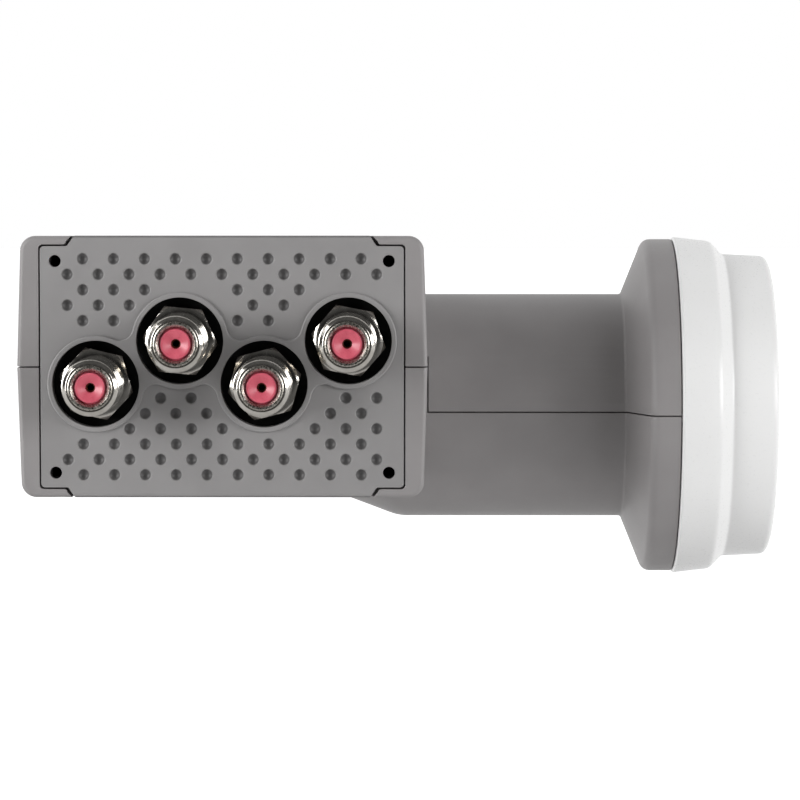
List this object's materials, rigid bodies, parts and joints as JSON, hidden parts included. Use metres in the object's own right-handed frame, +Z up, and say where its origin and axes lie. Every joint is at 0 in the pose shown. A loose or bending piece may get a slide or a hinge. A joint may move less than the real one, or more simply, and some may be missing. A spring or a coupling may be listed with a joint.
{
  "type": "satellite lnb",
  "caption": "Satellite dish feed receiver: grey two-shell box with a clamp neck, a flared horn under a pale cap and staggered F sockets in a dimpled end plate.",
  "frame": {"origin": "on the feed axis, midway along the clamp neck", "axes": "+X along the feed axis towards the cap, -Y the way the sockets face, +Z up"},
  "size_m": [0.1297, 0.0898, 0.0616],
  "materials": {
    "housing": "fine moulded grain",
    "cap": "smooth moulded",
    "plating": "bright nickel plating",
    "insulator": "smooth",
    "contact": "plated spring metal",
    "seal": "matte",
    "casting": "as cast",
    "steel": "plated",
    "board": "lacquered laminate",
    "sleeve": "waxy",
    "package": "moulded",
    "can": "stamped lid"
  },
  "bodies": {
    "root": {"upper_shell": "housing", "lower_shell": "housing", "connector_plate": "housing", "feed_cap": "cap", "socket_body_1": "plating", "socket_body_2": "plating", "socket_body_3": "plating", "socket_body_4": "plating", "socket_insulator_1": "insulator", "socket_insulator_2": "insulator", "socket_insulator_3": "insulator", "socket_insulator_4": "insulator", "socket_contact_1": "contact", "socket_contact_2": "contact", "socket_contact_3": "contact", "socket_contact_4": "contact", "vertical_probe": "contact", "horizontal_probe": "contact", "isolation_pin": "contact", "socket_seal_1": "seal", "socket_seal_2": "seal", "socket_seal_3": "seal", "socket_seal_4": "seal", "cap_seal": "seal", "upper_gasket": "seal", "lower_gasket": "seal", "chassis": "casting", "upper_cover": "casting", "lower_cover": "casting", "upper_cover_screws": "steel", "lower_cover_screws": "steel", "upper_board": "board", "lower_board": "board", "vertical_sleeve": "sleeve", "horizontal_sleeve": "sleeve", "receiver_chip_upper": "package", "receiver_chip_lower": "package", "switch_chip": "package", "low_noise_transistors": "package", "regulators": "package", "reference_crystals": "can"}
  },
  "joints": []
}
